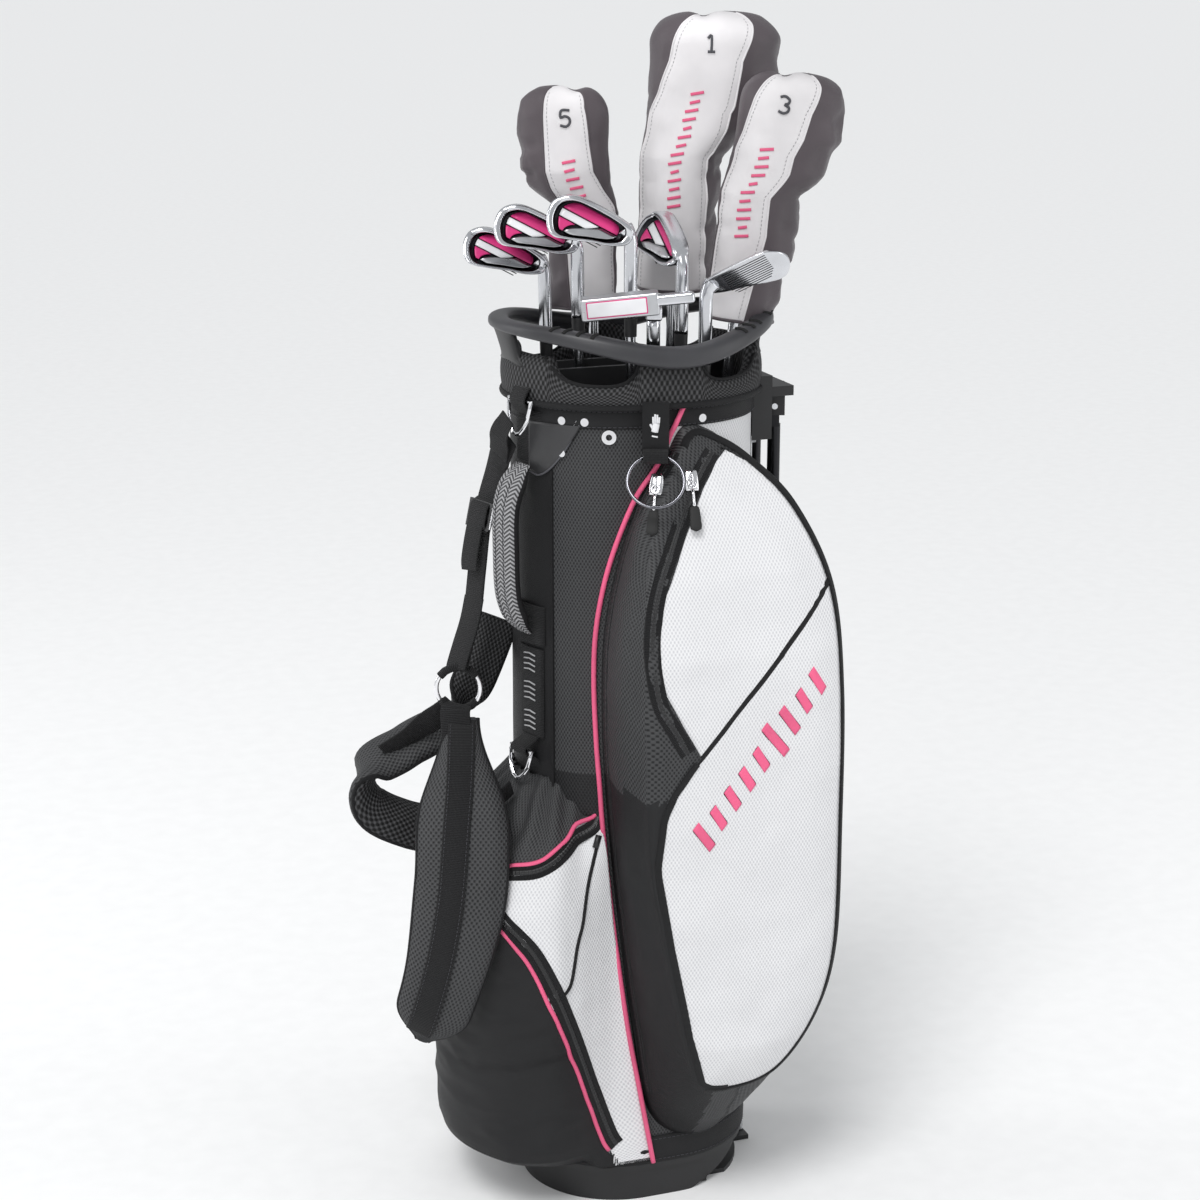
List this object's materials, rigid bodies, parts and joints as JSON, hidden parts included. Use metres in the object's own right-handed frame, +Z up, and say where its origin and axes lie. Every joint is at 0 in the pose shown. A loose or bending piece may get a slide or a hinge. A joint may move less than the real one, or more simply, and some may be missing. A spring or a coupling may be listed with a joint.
{
  "type": "golf club set in stand bag",
  "caption": "Golf set in a tall stand bag: covered woods, cavity-back irons and a putter that lift out, folding legs worked by a hinged foot, zips, straps and a towel ring.",
  "frame": {"origin": "on the floor, in the middle of the oval foot of the bag", "axes": "+Z up, +X towards the folding legs, -X towards the carry handle and straps, -Y towards the large pocket"},
  "size_m": [0.4959, 0.3215, 1.2013],
  "materials": {
    "base_plastic": "fine moulded grain, satin",
    "shell_fabric": "charcoal ripstop with a diamond weave",
    "white_fabric": "white woven nylon with a fine diamond emboss",
    "black_fabric": "black woven polyester",
    "mesh_fabric": "black spacer mesh",
    "pad_fabric": "grey ribbed knit over foam",
    "webbing": "black nylon webbing",
    "foam": "closed-cell foam, dull",
    "rim_plastic": "dark grey moulded plastic, satin",
    "divider_plastic": "black fabric-wrapped frame",
    "bracket_plastic": "black moulded nylon",
    "chrome_trim": "polished",
    "steel_pin": "turned",
    "leg_tube": "dark anodised",
    "foot_rubber": "moulded rubber",
    "shaft_steel": "polished steel tube",
    "iron_steel": "cast head, polished and satin faces",
    "wood_head": "gloss black",
    "cover_fabric": "white and dark grey knit with padding",
    "putter_steel": "satin nickel",
    "stay_plastic": "fibre rod"
  },
  "bodies": {
    "bag": {"base_cup": "base_plastic", "base_pad": "foam", "foot_hinge_pin": "steel_pin", "bag_tube": "shell_fabric", "tube_stays": "stay_plastic", "top_collar": "mesh_fabric", "divider_grid": "divider_plastic", "throat_handle": "rim_plastic", "apparel_pocket": "white_fabric", "side_pocket": "white_fabric", "ball_pocket": "black_fabric", "carry_handle": "pad_fabric", "spine_webbing": "webbing", "strap_d_rings": "chrome_trim", "upper_strap": "webbing", "strap_buckle": "bracket_plastic", "strap_ring": "chrome_trim", "front_shoulder_pad": "pad_fabric", "rear_shoulder_pad": "pad_fabric", "lower_strap": "webbing", "towel_tab": "webbing", "rivets": "chrome_trim", "leg_bracket": "bracket_plastic", "leg_pins": "steel_pin", "rod_guides": "bracket_plastic"},
    "foot": {"foot_plate": "base_plastic"},
    "actuator": {"pull_rod": "steel_pin"},
    "left_leg": {"left_leg": "leg_tube", "left_leg_foot": "foot_rubber"},
    "right_leg": {"right_leg": "leg_tube", "right_leg_foot": "foot_rubber"},
    "towel_ring": {"towel_ring": "chrome_trim"},
    "side_zip_slider": {"side_zip_slider": "chrome_trim"},
    "side_zip_pull": {"side_zip_pull": "chrome_trim"},
    "pocket_zip_slider": {"pocket_zip_slider": "chrome_trim"},
    "pocket_zip_pull": {"pocket_zip_pull": "chrome_trim"},
    "driver": {"driver_shaft": "shaft_steel", "driver_head": "wood_head"},
    "driver_cover": {"driver_cover": "cover_fabric"},
    "fairway": {"fairway_shaft": "shaft_steel", "fairway_head": "wood_head"},
    "fairway_cover": {"fairway_cover": "cover_fabric"},
    "hybrid": {"hybrid_shaft": "shaft_steel", "hybrid_head": "wood_head"},
    "hybrid_cover": {"hybrid_cover": "cover_fabric"},
    "six_iron": {"six_iron_shaft": "shaft_steel", "six_iron_head": "iron_steel"},
    "seven_iron": {"seven_iron_shaft": "shaft_steel", "seven_iron_head": "iron_steel"},
    "eight_iron": {"eight_iron_shaft": "shaft_steel", "eight_iron_head": "iron_steel"},
    "nine_iron": {"nine_iron_shaft": "shaft_steel", "nine_iron_head": "iron_steel"},
    "wedge": {"wedge_shaft": "shaft_steel", "wedge_head": "iron_steel"},
    "putter": {"putter_shaft": "shaft_steel", "putter_head": "putter_steel"}
  },
  "joints": [
    {"name": "base_hinge", "type": "hinge", "parent": "bag", "child": "foot", "pos_m": [0.046, 0, 0.008], "axis": [0, -1, 0], "range_deg": [0, 16]},
    {"name": "rod_slide", "type": "slide", "parent": "bag", "child": "actuator", "axis": [0, 0, 1], "range_m": [0, 0.026]},
    {"name": "left_leg_swing", "type": "hinge", "parent": "bag", "child": "left_leg", "pos_m": [0.145, 0.024, 0.818], "axis": [0.3746, -0.9272, 0], "range_deg": [0, 29]},
    {"name": "right_leg_swing", "type": "hinge", "parent": "bag", "child": "right_leg", "pos_m": [0.145, -0.024, 0.818], "axis": [-0.3746, -0.9272, 0], "range_deg": [0, 29]},
    {"name": "driver_lift", "type": "slide", "parent": "bag", "child": "driver", "axis": [0.0149, 0.0145, 0.9998], "range_m": [0, 0.87]},
    {"name": "driver_cover_pull", "type": "slide", "parent": "driver", "child": "driver_cover", "axis": [0.0149, 0.0145, 0.9998], "range_m": [0, 0.3]},
    {"name": "fairway_lift", "type": "slide", "parent": "bag", "child": "fairway", "axis": [0.1088, -0.0286, 0.9936], "range_m": [0, 0.87]},
    {"name": "fairway_cover_pull", "type": "slide", "parent": "fairway", "child": "fairway_cover", "axis": [0.1088, -0.0286, 0.9936], "range_m": [0, 0.3]},
    {"name": "hybrid_lift", "type": "slide", "parent": "bag", "child": "hybrid", "axis": [-0.0024, 0.0174, 0.9998], "range_m": [0, 0.87]},
    {"name": "hybrid_cover_pull", "type": "slide", "parent": "hybrid", "child": "hybrid_cover", "axis": [-0.0024, 0.0174, 0.9998], "range_m": [0, 0.3]},
    {"name": "six_iron_lift", "type": "slide", "parent": "bag", "child": "six_iron", "axis": [-0.0035, -0.0087, 1], "range_m": [0, 0.87]},
    {"name": "seven_iron_lift", "type": "slide", "parent": "bag", "child": "seven_iron", "axis": [-0.0114, 0.002, 0.9999], "range_m": [0, 0.87]},
    {"name": "eight_iron_lift", "type": "slide", "parent": "bag", "child": "eight_iron", "axis": [0.0078, -0.0093, 0.9999], "range_m": [0, 0.87]},
    {"name": "nine_iron_lift", "type": "slide", "parent": "bag", "child": "nine_iron", "axis": [-0.0159, 0.0101, 0.9998], "range_m": [0, 0.87]},
    {"name": "wedge_lift", "type": "slide", "parent": "bag", "child": "wedge", "axis": [0.0103, -0.0165, 0.9998], "range_m": [0, 0.87]},
    {"name": "putter_lift", "type": "slide", "parent": "bag", "child": "putter", "axis": [-0.0011, -0.0159, 0.9999], "range_m": [0, 0.87]},
    {"name": "towel_ring_swing", "type": "hinge", "parent": "bag", "child": "towel_ring", "pos_m": [-0.02, -0.119, 0.7965], "axis": [-0.9397, 0.342, 0], "range_deg": [0, 70]},
    {"name": "side_zip_slide", "type": "slide", "parent": "bag", "child": "side_zip_slider", "axis": [-0.5789, -0.118, -0.8068], "range_m": [0, 0.03]},
    {"name": "side_zip_pull_swing", "type": "hinge", "parent": "side_zip_slider", "child": "side_zip_pull", "pos_m": [-0.02027, -0.12093, 0.76755], "axis": [-0.866, 0.5, 0], "range_deg": [0, 12]},
    {"name": "pocket_zip_slide", "type": "slide", "parent": "bag", "child": "pocket_zip_slider", "axis": [-0.6077, -0.3235, -0.7253], "range_m": [0, 0.04]},
    {"name": "pocket_zip_pull_swing", "type": "hinge", "parent": "pocket_zip_slider", "child": "pocket_zip_pull", "pos_m": [0.01272, -0.13201, 0.77155], "axis": [-0.9781, 0.2079, 0], "range_deg": [0, 100]}
  ],
  "couplings": [
    {"joint": "rod_slide", "follows": "base_hinge", "m_per_rad": 0.09},
    {"joint": "left_leg_swing", "follows": "base_hinge", "ratio": 1.75},
    {"joint": "right_leg_swing", "follows": "base_hinge", "ratio": 1.75}
  ]
}
